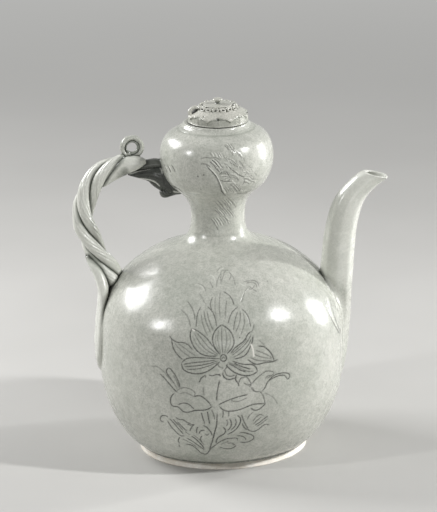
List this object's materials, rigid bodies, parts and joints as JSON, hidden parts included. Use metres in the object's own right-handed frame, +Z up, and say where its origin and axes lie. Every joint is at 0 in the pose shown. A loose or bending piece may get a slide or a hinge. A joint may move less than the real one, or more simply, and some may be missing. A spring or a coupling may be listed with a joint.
{
  "type": "wine ewer",
  "caption": "Gourd-shaped wine ewer with a twisted rope handle, a curved spout and a loose domed lid with a cord loop.",
  "frame": {"origin": "middle of the bounding box on the plane that the foot ring stands on", "axes": "+Z up, +X from the handle to the spout, +Y away from the side that shows the incised lotus"},
  "size_m": [0.2842, 0.22, 0.3246],
  "materials": {
    "glaze": "glossy pale grey-green glaze",
    "foot_clay": "thinly glazed pale clay"
  },
  "bodies": {
    "vessel": {"foot_ring": "foot_clay", "belly_bowl": "glaze", "belly_shoulder": "glaze", "neck": "glaze", "upper_bulb": "glaze", "mouth_collar": "glaze", "spout": "glaze", "handle_roll_1": "glaze", "handle_roll_2": "glaze", "handle_roll_3": "glaze", "handle_tail_front": "glaze", "handle_tail_back": "glaze", "handle_head_branch": "glaze", "handle_leaf_branch": "glaze", "handle_tendril": "glaze", "handle_cord_loop": "glaze"},
    "lid": {"lid_cap": "glaze", "lid_flange": "glaze", "lid_calyx": "glaze", "lid_dome": "glaze", "lid_knob": "glaze", "lid_cord_loop": "glaze"}
  },
  "joints": [
    {"name": "lid_lift", "type": "slide", "parent": "vessel", "child": "lid", "axis": [0, 0, 1], "range_m": [0, 0.06]}
  ]
}
